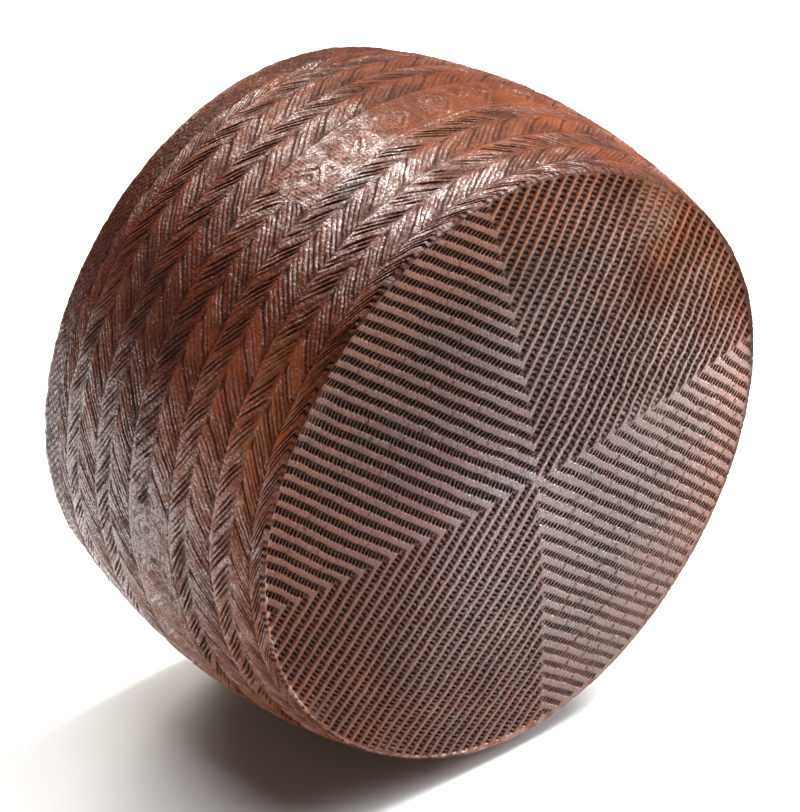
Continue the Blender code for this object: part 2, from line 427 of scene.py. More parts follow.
def groove_sink(lattice, rows, free):
    """Depth of the grooves between the ridges, in millimetres: bars and deeper gaps in turn."""
    quarter, across, along, beat, _ = rows.T
    quarter = quarter.astype(int)
    _, ridge = groove_side(across)
    place = np.abs(across - ridge)
    bead = np.floor(along / np.array(lattice.beads)[quarter] + 0.5)
    uneven = flat_noise(bead * 3.1, ridge * 5.7 + quarter, 1.0, SEED + 4)
    gap = np.interp(beat, BEAT_PLACES, BEAT_GAPS)
    gap = gap * (1 + 0.3 * uneven) * (0.35 + 0.65 * free)
    bars = np.array(BAR_DEPTHS)[quarter]
    bar_depth = bars * np.interp(place, GROOVE_PLACES, BAR_SHAPE)
    gap_depth = (GAP_BOTTOM - bars) * np.interp(place, GROOVE_PLACES, GAP_SHAPE)
    return bar_depth + gap_depth * gap


def shaped_face(lattice, front):
    """Places of a lattice's points, how deep they are sunk and their share of shade."""
    rows = np.array(lattice.rows, float)
    quarter, across, along, _, held = rows.T
    _, ridge = groove_side(across)
    free = smooth((along - np.abs(across)) / 0.7) * (1 - held)
    x, z = print_place(rows, free, lattice.bend)
    inside = (print_radius(np.arctan2(z, x)) - np.hypot(x, z)) / MM
    points = np.stack([x, np.full_like(x, 0.0 if front else 0.5), z], 1)
    loose = smooth(inside / 6)
    swing = 1 + 1.6 * np.exp(-(((x - 58 * MM) ** 2 + (z - 20 * MM) ** 2) / (34 * MM) ** 2))
    x = x + loose * swing * mixed_noise(points, FACE_WANDER, SEED + 30)
    z = z + loose * swing * mixed_noise(points, FACE_WANDER, SEED + 40)
    top = fall(np.abs(across - ridge), RIDGE_HALF - 0.03, 0.03)
    cracks = crack_depth(quarter, ridge, along, across) * top * smooth(inside / 3)
    worn = 1 - 0.4 * smooth(noise(points, 26 * MM, SEED + 60) * 1.6 - 0.5)
    sink = smooth(inside / 0.9) * worn * groove_sink(lattice, rows, free) + 0.6 * cracks
    rough = mixed_noise(points, FACE_ROUGH, SEED + 50) * (0.5 + top)
    slow = 0.22 * noise(points, 38 * MM, SEED + 61) + 0.12 * noise(points, 12 * MM, SEED + 62)
    dip = sink + rough + (slow + 0.25) * loose
    s = face_depth(np.hypot(x, z), np.arctan2(z, x)) + np.maximum(dip, 0) * MM
    return x, z, s, np.clip(sink / 0.85, 0, 1)


# The plaited band's print


def row_stations():
    """Distances behind the face at which the wall's rings of points lie."""
    stations = []
    for low, high in zip(PLAIT_LINES, PLAIT_LINES[1:]):
        if PANEL_LINES[0] <= low < PANEL_LINES[1]:
            parts = np.arange(PANEL_RINGS) / PANEL_RINGS
        elif high - low < NARROW_ROW:
            parts = np.arange(NARROW_RINGS) / NARROW_RINGS
        else:
            parts = ROW_PARTS
        stations += [low + (high - low) * part for part in parts]
    margin = np.linspace(PLAIT_LINES[-1], BACK_EDGE, MARGIN_RINGS + 1)
    return np.array([*stations, *margin])


def plait_place(s):
    """The half row a ring lies in, its share of the way across it and the zigzag's lean."""
    lines = np.array(PLAIT_LINES)
    row = np.clip(np.searchsorted(lines, s, side="right") - 1, 0, len(lines) - 2)
    along = np.clip((s - lines[row]) / (lines[row + 1] - lines[row]), 0, 1)
    lean = np.where(row % 2 == 0, 2 * along - 1, 1 - 2 * along)
    return row, along, lean


def straw_gap(part):
    """1 in the thin gap between two straws and 0 over most of a straw."""
    return np.interp(part, (*RIB_COLUMNS, 1), (*RIB_GAPS, 1))


def opened(line, row, along, draw):
    """How open a gap is: it runs in a few dashes, and some gaps hardly show."""
    broken = flat_noise(line * 5.3 + row * 2.9, along * 4.2, 1.0, SEED + 8)
    return smooth(1.3 * draw + 1.1 * broken - 0.1)


def lapped(bundle, along):
    """Sink by which each row starts under the ends of the row before it."""
    off = np.abs(2 * bundle - 1)
    notch = smooth((0.02 + 0.14 * off * off - (1 - along)) / 0.08)
    return 0.12 + 0.3 * (1 - along) + 0.3 * notch


def fine_row(line, gap, first, along, open_share):
    """Sink of the rows whose straws lie apart, with dark dashes between them."""
    start = np.where(first, 1, smooth(along / 0.3))
    middle = start * smooth((1 - along) / 0.28)
    inner = np.where(line % RIBS == 0, 0.1, 1)
    return 0.08 + gap * middle * inner * (0.2 + 0.7 * open_share) - 0.08 * (1 - inner) * gap


def plump_row(line, bundle, gap, along, open_share):
    """Sink of the rows whose straws form plump leaves with round ends."""
    off = np.abs(2 * bundle - 1)
    end = np.clip((np.abs(2 * along - 1) - 0.45) / 0.55, 0, 1)
    outline = off**2.5 + 0.9 * end**2
    crown = (0.22 + 0.2 * along) * smooth((outline - 0.45) / 0.7)
    deep = np.where(line % RIBS == 0, 0.35, 0.1 + 0.3 * open_share)
    return crown + gap * deep * smooth((1.25 - outline) / 0.4)


def cloth_margin(turn, s):
    """Sink of the margin that only the cloth has marked."""
    across = np.sin(turn * WHEEL_RADIUS / (2.5 * MM) * TAU)
    along = np.sin(s / (2.3 * MM) * TAU + turn * 9)
    return 0.6 + 0.15 * across * along


def bar(value, width):
    """1 on a line and 0 further than its width away, with soft sides."""
    return smooth(1.4 - np.abs(value) / width)


def panel_sink(turn, s, start, end):
    """Sink of one panel: a double frame, and cells that each hold two lozenges."""
    low, high = PANEL_LINES
    up = (s - low) / (high - low)
    count = round((end - start) / PANEL_CELL)
    cell = (turn - start) / (end - start) * count
    part = cell - np.floor(cell)
    sides = np.minimum(s - low, high - s)
    ends = np.minimum(turn - start, end - turn) * WHEEL_RADIUS
    border = np.minimum(sides, ends)
    raised = 0.32 * bar(border - 0.8 * MM, 0.5 * MM)
    raised = np.maximum(raised, 0.22 * bar(border - 2.3 * MM, 0.4 * MM))
    divider = np.minimum(part, 1 - part) * (end - start) / count * WHEEL_RADIUS
    inner = border > 3.0 * MM
    raised = np.maximum(raised, 0.3 * bar(divider, 0.5 * MM) * inner)
    lozenge = np.abs(part - 0.5) * 2 + np.abs(up - 0.5) * 2.1
    for ring, strength in ((0.72, 0.42), (0.34, 0.38)):
        raised = np.maximum(raised, strength * bar(lozenge - ring, 0.1) * inner)
    return PANEL_SINK - raised


def wall_sink(place, turn, s):
    """How deep each point of the wall lies below the crowns, in millimetres."""
    row, along, _ = plait_place(s)
    strand = np.floor(place).astype(int)
    bundle = place - strand
    line = np.round(place * RIBS).astype(int)
    gap = straw_gap(place * RIBS % 1)
    draw = np.random.default_rng(SEED + 5)
    line_draws = draw.random((len(PLAIT_LINES), STRANDS * RIBS))
    crown_draws = draw.uniform(0, 1, (len(PLAIT_LINES), STRANDS))
    straw_draws = draw.uniform(-1, 1, (len(PLAIT_LINES), STRANDS * RIBS))
    open_share = opened(line, row, along, line_draws[row, line % (STRANDS * RIBS)])
    sink = np.where(
        row % 2 == 0,
        fine_row(line, gap, row == 0, along, open_share),
        plump_row(line, bundle, gap, along, open_share),
    )
    sink += lapped(bundle, along)
    middle = smooth(along / 0.2) * smooth((1 - along) / 0.2)
    sink += 0.18 * crown_draws[row, strand] * middle
    straw = np.floor(place * RIBS + 1e-6).astype(int)
    sink += 0.07 * straw_draws[row, straw] * (1 - gap) * middle
    margin = smooth((s - PLAIT_LINES[-1]) / (0.8 * MM))
    sink = sink * (1 - margin) + cloth_margin(turn, s) * margin
    inside_rows = (s > PANEL_LINES[0]) & (s < PANEL_LINES[1])
    for start, end in PANEL_TURNS:
        inside = inside_rows & (turn % TAU > start) & (turn % TAU < end)
        sink = np.where(inside, panel_sink(turn % TAU, s, start, end), sink)
    return sink


def edge_rings(front):
    """(radius, s) of the rings over one of the wheel's edges, from its face outwards."""
    corner = wall_radius(0) - EDGE_ROUND + EDGE_SHARP
    round_by = EDGE_ROUND - EDGE_SHARP
    rings = [(corner, 0)]
    for slant in (25, 55, 85):
        slant = math.radians(slant)
        rings.append((corner + round_by * math.sin(slant), round_by * (1 - math.cos(slant))))
    return rings if front else [(r, THICKNESS - s) for r, s in rings]


def wall_lattice():
    """Turns, distances, radii and places of the wall's rings, from lip to lip."""
    front, back = edge_rings(True), edge_rings(False)[::-1]
    stations = row_stations()
    kept = stations > front[-1][1] + 0.1 * MM
    stations = stations[kept]
    near, far = np.array(front), np.array(back[1:])
    s = np.concatenate([near[:, 1], stations, far[:, 1]])
    radius = np.concatenate([near[:, 0], wall_radius(stations), far[:, 0]])
    ribs = np.arange(STRANDS * RIBS)[:, None]
    place = ((ribs + np.array(RIB_COLUMNS)) / RIBS).ravel()
    _, _, lean = plait_place(s)
    draw = np.random.default_rng(SEED)
    shifts = draw.uniform(-STRAND_SHIFT, STRAND_SHIFT, STRANDS)
    drift = np.interp(place, np.arange(STRANDS + 1), np.append(shifts, shifts[0]))
    turn = place / STRANDS * TAU + drift
    turn = turn[None, :] + lean[:, None] * STRAND_LEAN / 2
    s_all = np.repeat(s[:, None], len(place), 1)
    radius = np.repeat(radius[:, None], len(place), 1)
    places = np.repeat(place[None, :], len(s), 0)
    return turn, s_all, radius, places, len(front), len(back) - 1


def shaped_wall():
    """Points of the wall and their shade, ring by ring."""
    turn, s, radius, places, front, back = wall_lattice()
    rings, count = turn.shape
    flat_turn, flat_s = turn.ravel(), s.ravel()
    round_points = np.stack(
        [WHEEL_RADIUS * np.cos(flat_turn), flat_s, WHEEL_RADIUS * np.sin(flat_turn)], 1
    )
    on_wall = np.zeros((rings, 1))
    on_wall[1:front] = 0.35
    on_wall[front:rings - back] = 1
    on_wall = np.repeat(on_wall, count, 1).ravel()
    body = (smooth(s / (2.2 * MM)) * smooth((THICKNESS - s) / (2.2 * MM))).ravel()
    wander_turn = mixed_noise(round_points, STRAND_WANDER, SEED + 70) / WHEEL_RADIUS
    wander_s = mixed_noise(round_points, ROW_WANDER, SEED + 75)
    sink = wall_sink(places.ravel(), flat_turn, flat_s)
    rough = mixed_noise(round_points, WALL_ROUGH, SEED + 80)
    ragged = mixed_noise(round_points, EDGE_ROUGH, SEED + 83)
    held = 1 - pressed(flat_turn)
    depth = on_wall * (sink + rough + 0.36) + (1 - on_wall) * (0.5 + ragged)
    uneven = 0.9 + 0.35 * noise(round_points, 30 * MM, SEED + 85)
    depth = np.maximum(depth * uneven, 0) * held * MM
    crest = smooth(1 - flat_s / LIP_HEIGHT) * lip_crest(flat_turn)
    crest -= smooth(1 - (THICKNESS - flat_s) / LIP_HEIGHT) * lip_crest(flat_turn)
    new_turn = flat_turn + wander_turn * body
    new_s = flat_s + wander_s * body + crest
    new_radius = radius.ravel() + edge_drift(new_turn, flat_s) - depth
    shade = np.clip((sink - 0.12) / 0.75, 0, 1) * held
    shade = np.where(on_wall > 0, shade, 0.25)
    return new_turn, new_s, new_radius, shade, rings, count


# Pieces


def to_world(x, s, z):
    """Places on the wheel in the frame's own axes, with the resting stretch pressed flat."""
    height = np.maximum(z + CENTRE_HEIGHT, 0)
    return np.stack([x, s - THICKNESS / 2, height], 1)


def point_normals(points, triangles):
    a, b, c = (points[triangles[:, i]] for i in range(3))
    faces = np.cross(b - a, c - a)
    total = np.zeros_like(points)
    for corner in range(3):
        for axis in range(3):
            total[:, axis] += np.bincount(triangles[:, corner], faces[:, axis], len(points))
    return total / np.maximum(np.linalg.norm(total, axis=1), 1e-30)[:, None]


def rind_piece(name, triangles, points, normals, values, material):
    """One piece of the rind, cut from the whole lattice and smooth across its seams."""
    used, local = np.unique(triangles, return_inverse=True)
    local = local.reshape(-1, 3)
    mesh = bpy.data.meshes.new(name)
    mesh.vertices.add(len(used))
    mesh.vertices.foreach_set("co", points[used].astype(np.float32).ravel())
    mesh.loops.add(local.size)
    mesh.loops.foreach_set("vertex_index", local.astype(np.int32).ravel())
    mesh.polygons.add(len(local))
    mesh.polygons.foreach_set("loop_start", np.arange(0, local.size, 3, dtype=np.int32))
    mesh.update(calc_edges=True)
    mesh.shade_smooth()
    for key, value in values.items():
        layer = mesh.attributes.new(key, "FLOAT", "POINT")
        layer.data.foreach_set("value", value[used].astype(np.float32))
    mesh.normals_split_custom_set_from_vertices(normals[used].tolist())
    mesh.materials.append(material)
    piece = bpy.data.objects.new(name, mesh)
    bpy.context.scene.collection.objects.link(piece)
    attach(piece, "root")
    return piece


def rim_ring(numbers, places):
    """A closed row of points in order of their turn, ending where it starts."""
    order = np.argsort(places)
    numbers = [numbers[i] for i in order]
    places = [places[i] for i in order]
    return numbers + numbers[:1], places + [places[0] + TAU]


def margin_triangles(rim, rim_turns, ring, ring_turns, front):
    """The smooth margin between the board's print and the lip."""
    inner = rim_ring(rim, rim_turns)
    outer = rim_ring(ring, ring_turns)
    found = np.array(stitched(*inner, *outer))
    return found if front else found[:, ::-1]


def grid_triangles(first, last, count, base):
    """Two triangles for each place in a stretch of the wall's rings."""
    ring = np.arange(first, last)[:, None]
    column = np.arange(count)[None, :]
    after = (column + 1) % count
    a = base + ring * count + column
    b = base + ring * count + after
    c = base + (ring + 1) * count + after
    d = base + (ring + 1) * count + column
    one = np.stack([a, d, c], -1).reshape(-1, 3)
    two = np.stack([a, c, b], -1).reshape(-1, 3)
    return np.concatenate([one, two])


def wheel_place(points):
    """Each point's x, its height over the wheel's axis, its distance s and its turn."""
    x, z = points[:, 0], points[:, 2] - CENTRE_HEIGHT
    return x, z, points[:, 1] + THICKNESS / 2, np.arctan2(z, x) % TAU


def face_share(points):
    """1 on the shown face's print and 0 on the wall, with a soft change at the edge."""
    x, z, s, _ = wheel_place(points)
    return fall(np.hypot(x, z), 93 * MM, 2 * MM) * (s < 10 * MM)


def blended(wall, face, points):
    """The wall's value on the wall and the face's on the shown face."""
    return wall + (face - wall) * face_share(points)


def wall_share(points):
    """0 on the crests of both faces and 1 behind them, on the wall and in the deepest grooves."""
    _, _, s, _ = wheel_place(points)
    return rise(s, 0.5 * MM, MM) * fall(s, THICKNESS, MM)


def face_tan_and_lit_side(points):
    """How tan the shown face is towards its right and along its upper rim, and where painted light
    makes it paler there.
    """
    x, z, _, turn = wheel_place(points)
    radius = np.hypot(x, z)
    inner = fall(radius, 92.5 * MM, 2 * MM)
    right = smooth((0.75 * x + 0.5 * z) / (110 * MM) + 0.1)
    upper = smooth(0.5 + 0.8 * np.cos(turn - 45 * DEG))
    return right * inner, upper * inner * rise(radius, 60 * MM, 28 * MM)


def rust_share(points):
    """How far the wax lets the rusty rind through: most of all high on one side."""
    x, z, s, _ = wheel_place(points)
    turn = RUST_TURN + RUST_TWIST * s / THICKNESS
    high = (x * np.cos(turn) + z * np.sin(turn)) / WHEEL_RADIUS
    wander = 0.25 * noise(points, 24 * MM, SEED + 90) + 0.12 * noise(points, 8 * MM, SEED + 91)
    wander *= 0.3 + 0.7 * smooth(s / (3 * MM))
    return 0.08 + 0.9 * rise(high + wander, 0.35, 0.65)


def copper_share(points):
    """How far the rind is copper: low on the wall's left, near the shown face and on its right."""
    _, _, s, turn = wheel_place(points)
    near = fall(s, 52 * MM, 26 * MM)
    low = rise(turn, 178 * DEG, 24 * DEG)
    around = rise(turn, COPPER_TURN, 14 * DEG) * (1 - rise(turn, 250 * DEG, 30 * DEG))
    wander = 1 + 0.5 * noise(points, 18 * MM, SEED + 93)
    right, upper = face_tan_and_lit_side(points)
    wall = around * np.maximum(near, low)
    face = 0.36 * right + 0.35 * upper
    return np.clip(blended(wall, face, points) * wander, 0, 1)


def soot_share(points):
    """Where the rind is nearly black, in one broad patch with a ragged edge."""
    _, _, s, turn = wheel_place(points)
    round_way = (turn - SOOT_TURN) * WHEEL_RADIUS
    away = np.hypot(round_way / (24 * MM), (s - SOOT_PLACE) / (22 * MM))
    wander = 0.35 * noise(points, 15 * MM, SEED + 92)
    return 0.75 * smooth(1.2 - away + wander) * (s > 8 * MM)


def face_wax_and_sheen(points):
    """How strong the wax coat is on the shown face, with painted sheen: strongest on its right and
    in a few spots.
    """
    x, z, _, _ = wheel_place(points)
    wander = 0.12 * noise(points, 16 * MM, SEED + 94)
    wax = 0.14 + 0.31 * smooth((0.8 * x - 0.35 * z) / (90 * MM) + 0.45 + wander)
    for amount, spot_x, spot_z, reach in SHEEN_SPOTS:
        wax += amount * np.exp(-((x - spot_x) ** 2 + (z - spot_z) ** 2) / reach**2)
    return wax


def wall_wax_and_sheen(points):
    """How strong the wax coat is on the wall: mottled like worn wax, and stronger low on the left
    and on top as painted sheen.
    """
    _, z, s, turn = wheel_place(points)
    specks = noise(points, 3.4 * MM, SEED + 95) + 0.8 * noise(points, 1.5 * MM, SEED + 96)
    mottled = 0.4 + 1.1 * smooth(0.5 + 0.8 * specks)
    low = rise(turn, 145 * DEG, 30 * DEG) * (0.2 + 0.8 * smooth(s / (60 * MM)))
    near = rise(turn, 138 * DEG, 15 * DEG) * fall(s, 45 * MM, 20 * MM)
    round_way = (turn - 106 * DEG) * WHEEL_RADIUS
    top = np.exp(-(round_way**2 + (s - 30 * MM) ** 2) / (34 * MM) ** 2)
    far = rise(s, 60 * MM, 20 * MM) * rise(z, 35 * MM, 30 * MM)
    far *= fall(turn, 118 * DEG, 20 * DEG)
    return (0.2 + low + 0.4 * top + 0.1 * near + 0.35 * far) * mottled


def wax_and_sheen_share(points):
    """How strong the wax coat is, with painted sheen where it is made stronger."""
    return np.clip(blended(wall_wax_and_sheen(points), face_wax_and_sheen(points), points), 0, 1)


def wall_tone_and_light(points):
    """How light the wall is, as painted light and shade: darker behind on the upper right, and
    lighter low on the left, next to the shown face there and in a grey patch further back.
    """
    _, z, s, turn = wheel_place(points)
    high = rise(z, 35 * MM, 30 * MM) * fall(turn, 104 * DEG, 14 * DEG)
    darker = 0.12 * rise(s, 35 * MM, 15 * MM) + 0.2 * rise(s, 65 * MM, 20 * MM)
    left = rise(turn, 140 * DEG, 20 * DEG)
    warm = rise(turn, 138 * DEG, 10 * DEG) * fall(turn, 178 * DEG, 20 * DEG)
    warm *= fall(s, 32 * MM, 16 * MM)
    round_way = (turn - 177 * DEG) * WHEEL_RADIUS
    grey = np.exp(-((round_way / (14 * MM)) ** 2) - ((s - 80 * MM) / (16 * MM)) ** 2)
    return 1.15 - darker * high + 0.4 * left + 0.3 * warm + 0.4 * grey


def face_tone_and_light(points):
    """How light the shown face is, as painted light and shade: lighter towards its right, along
    its rim and low down, and darkest in its middle and on its left.
    """
    x, z, _, _ = wheel_place(points)
    right, upper = face_tan_and_lit_side(points)
    rim = rise(np.hypot(x, z), 66 * MM, 12 * MM)
    low = smooth((5 * MM - 0.5 * x - 0.85 * z) / (30 * MM)) * fall(x, 40 * MM, 30 * MM)
    return 0.75 + 0.2 * rim + 0.3 * low + 0.45 * right + 0.2 * upper


def tone_and_light_share(points):
    """How light the rind is, as painted light and shade."""
    return blended(wall_tone_and_light(points), face_tone_and_light(points), points)


def green_share(points):
    """How far green is kept: the middle of the face is cooler, painting the cool hue of the sheen
    reflected there, and the dark side is cooler too.
    """
    x, z, s, turn = wheel_place(points)
    cool_side = np.exp(-(((turn - 143 * DEG) / (22 * DEG)) ** 2))
    wall = 0.98 - 0.12 * cool_side * rise(s, 12 * MM, 14 * MM)
    middle = fall(np.hypot(x, z), 70 * MM, 45 * MM)
    face = 1.02 + 0.08 * smooth(z / (50 * MM)) - 0.36 * middle
    return blended(wall, face, points)


def panel_share(points):
    """1 in the two panels of the band and 0 elsewhere."""
    _, _, s, turn = wheel_place(points)
    low, high = PANEL_LINES
    in_turn = np.zeros(len(points), bool)
    for start, end in PANEL_TURNS:
        in_turn |= (turn > start) & (turn < end)
    return (in_turn & (s > low) & (s < high)).astype(float)


# What each point of the rind carries for the material, beside its shade
SHARES = {
    "rust": rust_share,
    "soot": soot_share,
    "copper": copper_share,
    # the wax coat, made stronger in places as painted sheen
    "wax_and_painted_sheen": wax_and_sheen_share,
    # painted light and shade, with a base tone
    "tone_and_painted_light": tone_and_light_share,
    "green": green_share,
    "wall": wall_share,
    "panel": panel_share,
}


def face_lattice(front):
    if front:
        lattice = Lattice(FINE_COLUMNS, BEAD_BEATS, BOARD_BEND)
    else:
        lattice = Lattice(COARSE_COLUMNS, BACK_BEAD_BEATS, 0)
    for quarter, slant in enumerate(BEAD_SLANTS):
        lay_quarter(lattice, quarter, slant)
    return lattice


def rind(material):
    """The whole rind in eight pieces."""
    front, back = face_lattice(True), face_lattice(False)
    fx, fz, fs, f_shade = shaped_face(front, True)
    bx, bz, bs, b_shade = shaped_face(back, False)
    turn, s, radius, w_shade, rings, count = shaped_wall()
    points = np.concatenate([
        to_world(fx, fs, fz),
        to_world(bx, THICKNESS - bs, bz),
        to_world(radius * np.cos(turn), s, radius * np.sin(turn)),
    ])
    shade = np.concatenate([f_shade, b_shade, w_shade])
    back_base = len(fx)
    wall_base = back_base + len(bx)
    lip = list(range(wall_base, wall_base + count))
    far_lip = list(range(wall_base + (rings - 1) * count, wall_base + rings * count))
    pieces = {}
    names = ("face_upper_right", "face_lower_right", "face_lower_left", "face_upper_left")
    for name, triangles in zip(names, front.triangles):
        pieces[name] = np.array(triangles)
    turns = np.arctan2(fz, fx)[front.rim] % TAU
    margin = margin_triangles(front.rim, turns, lip, turn[:count] % TAU, True)
    back_turns = np.arctan2(bz, bx)[back.rim] % TAU
    back_rim = [back_base + n for n in back.rim]
    last_turns = turn[(rings - 1) * count:] % TAU
    back_margin = margin_triangles(back_rim, back_turns, far_lip, last_turns, False)
    back_faces = np.concatenate([np.array(t) for t in back.triangles])[:, ::-1] + back_base
    pieces["back_face"] = np.concatenate([back_faces, back_margin])
    middles = s.reshape(rings, count).mean(1)
    cuts = [0, *np.searchsorted(middles, (PLAIT_LINES[5], PLAIT_LINES[8])), rings - 1]
    for name, low, high in zip(("plait_front", "plait_middle", "plait_back"), cuts, cuts[1:]):
        pieces[name] = grid_triangles(low, high, count, wall_base)
    pieces["plait_front"] = np.concatenate([pieces["plait_front"], margin])
    every = np.concatenate(list(pieces.values()))
    normals = point_normals(points, every)
    values = {"shade": shade}
    for name, share in SHARES.items():
        values[name] = share(points)
    return [
        rind_piece(name, triangles, points, normals, values, material)
        for name, triangles in pieces.items()
    ]


class Nodes:
    """Short ways to add nodes to a material."""

    def __init__(self, material):
        material.use_nodes = True
        self.tree = material.node_tree
        self.shader = self.tree.nodes["Principled BSDF"]

    def join(self, value, socket):
        if isinstance(value, bpy.types.NodeSocket):
            self.tree.links.new(value, socket)
        elif value is not None:
            socket.default_value = value

    def math(self, operation, a, b=None, c=None, clamp=False):
        node = self.tree.nodes.new("ShaderNodeMath")
        node.operation = operation
        node.use_clamp = clamp
        for socket, value in zip(node.inputs, (a, b, c)):
            self.join(value, socket)
        return node.outputs[0]

    def times(self, a, b, clamp=False):
        return self.math("MULTIPLY", a, b, clamp=clamp)

    def plus(self, a, b):
        return self.math("ADD", a, b)

    def attribute(self, name):
        node = self.tree.nodes.new("ShaderNodeAttribute")
        node.attribute_name = name
        return node.outputs["Fac"]

    def place(self):
        node = self.tree.nodes.new("ShaderNodeTexCoord")
        return node.outputs["Object"]

    def turn(self):
        """The turn round the wheel's axis, in radians."""
        node = self.tree.nodes.new("ShaderNodeSeparateXYZ")
        self.join(self.place(), node.inputs[0])
        height = self.math("SUBTRACT", node.outputs["Z"], CENTRE_HEIGHT)
        return self.math("ARCTAN2", height, node.outputs["X"])

    def noise(self, size, detail=2.0, rough=0.5):
        """Blender's noise with bumps about one size across."""
        node = self.tree.nodes.new("ShaderNodeTexNoise")
        self.join(self.place(), node.inputs["Vector"])
        node.inputs["Scale"].default_value = 1 / size
        node.inputs["Detail"].default_value = detail
        node.inputs["Roughness"].default_value = rough
        return node.outputs["Fac"]

    def ranged(self, value, low, high, new_low, new_high):
        node = self.tree.nodes.new("ShaderNodeMapRange")
        node.interpolation_type = "SMOOTHSTEP"
        for socket, number in zip(node.inputs, (value, low, high, new_low, new_high)):
            self.join(number, socket)
        return node.outputs[0]

    def ramp(self, value, stops):
        node = self.tree.nodes.new("ShaderNodeValToRGB")
        elements = node.color_ramp.elements
        while len(elements) < len(stops):
            elements.new(0.5)
        for element, (place, colour) in zip(elements, stops):
            element.position = place
            element.color = (*colour, 1)
        self.join(value, node.inputs["Fac"])
        return node.outputs["Color"]

    def mixed(self, share, a, b, blend="MIX"):
        node = self.tree.nodes.new("ShaderNodeMix")
        node.data_type = "RGBA"
        node.blend_type = blend
        self.join(share, node.inputs["Factor"])
        sockets = [s for s in node.inputs if s.type == "RGBA"]
        self.join(a, sockets[0])
        self.join(b, sockets[1])
        return [s for s in node.outputs if s.type == "RGBA"][0]

    def colour(self, red, green, blue):
        node = self.tree.nodes.new("ShaderNodeCombineColor")
        for socket, value in zip(node.inputs, (red, green, blue)):
            self.join(value, socket)
        return node.outputs[0]

    def bump(self, height, distance, before=None):
        node = self.tree.nodes.new("ShaderNodeBump")
        node.inputs["Distance"].default_value = distance
        node.inputs["Strength"].default_value = 1
        self.join(height, node.inputs["Height"])
        if before is not None:
            self.join(before, node.inputs["Normal"])
        return node.outputs["Normal"]


# Colours of the rind, from its crests down into its gaps, darker with depth as painted shade
CREST = (0.078, 0.0186, 0.0060)
FLANK = (0.064, 0.0135, 0.0043)
GAP = (0.024, 0.0048, 0.0018)
PIT = (0.008, 0.0018, 0.0009)
RUST = (0.084, 0.0215, 0.0054)
SOOT = (0.022, 0.0090, 0.0055)
COPPER = (0.145, 0.0365, 0.0130)
RIND_IOR = 1.15
WAX_IOR = 2.2
WAX_ROUGHNESS = 0.2
THREAD = 1.1 * MM  # from one thread of the cloth to the next


def rind_colour(nodes, shade, wall, speck, dots):
    """Chestnut crests, gaps painted nearly black as shade, and rust, copper and soot over them."""
    blotch = nodes.noise(13 * MM, 3.0, 0.55)
    depth = nodes.plus(shade, nodes.ranged(speck, 0.3, 0.7, -0.12, 0.12))
    depth = nodes.plus(depth, nodes.times(wall, nodes.ranged(dots, 0.35, 0.65, 0.14, -0.18)))
    # The deeper a point lies, the darker it is painted: painted shade in the gaps and recesses
    base = nodes.ramp(depth, ((0.05, CREST), (0.35, FLANK), (0.7, GAP), (1.0, PIT)))
    rust = nodes.times(nodes.attribute("rust"), nodes.ranged(blotch, 0.25, 0.75, 0.4, 1.2))
    rust = nodes.times(rust, nodes.ranged(shade, 0.0, 0.9, 1.0, 0.25), clamp=True)
    base = nodes.mixed(rust, base, (*RUST, 1))
    copper = nodes.times(nodes.attribute("copper"), nodes.ranged(shade, 0.1, 0.8, 0.85, 0.1))
    base = nodes.mixed(copper, base, (*COPPER, 1))
    patch = nodes.ranged(nodes.noise(42 * MM), 0.3, 0.7, 0.3, 1.1)
    soot = nodes.times(nodes.attribute("soot"), patch, clamp=True)
    base = nodes.mixed(soot, base, (*SOOT, 1))
    # Painted light and shade lighten and darken the rind here, with a random blotchy tone over it
    tone_and_painted_light = nodes.times(nodes.attribute("tone_and_painted_light"), nodes.ranged(blotch, 0.2, 0.8, 0.72, 1.2))
    # Less green in the face's middle paints the cool hue of its reflected sheen
    tint = nodes.colour(tone_and_painted_light, nodes.times(tone_and_painted_light, nodes.attribute("green")), tone_and_painted_light)
    return nodes.mixed(1.0, base, tint, "MULTIPLY")


def wax_weight(nodes, shade, wall, dots):
    """How much wax is left: less in the gaps and where the rust shows, and in dots on the wall."""
    worn = nodes.ranged(nodes.attribute("rust"), 0.3, 0.85, 1.0, 0.2)
    wax = nodes.times(nodes.ranged(shade, 0.2, 0.85, 1.0, 0.1), worn)
    dotted = nodes.ranged(dots, 0.42, 0.66, -0.4, 1.0)
    wax = nodes.times(wax, nodes.math("MULTIPLY_ADD", wall, dotted, 1.0))
    # The coat is made stronger here in patches, as painted sheen
    return nodes.times(wax, nodes.attribute("wax_and_painted_sheen"), clamp=True)


def rind_bump(nodes, wall, dots):
    """The rind's fine grain, deeper on the wall, and the cloth's threads in the panels."""
    deeper = nodes.math("MULTIPLY_ADD", wall, 0.35, 0.8)
    grain = nodes.bump(nodes.times(nodes.noise(1.3 * MM, 3.0, 0.6), deeper), 0.45 * MM)
    grain = nodes.bump(nodes.times(dots, deeper), 0.2 * MM, grain)
    threads = nodes.math("SINE", nodes.times(nodes.turn(), WHEEL_RADIUS / THREAD * TAU))
    return nodes.bump(nodes.times(threads, nodes.attribute("panel")), 0.06 * MM, grain)


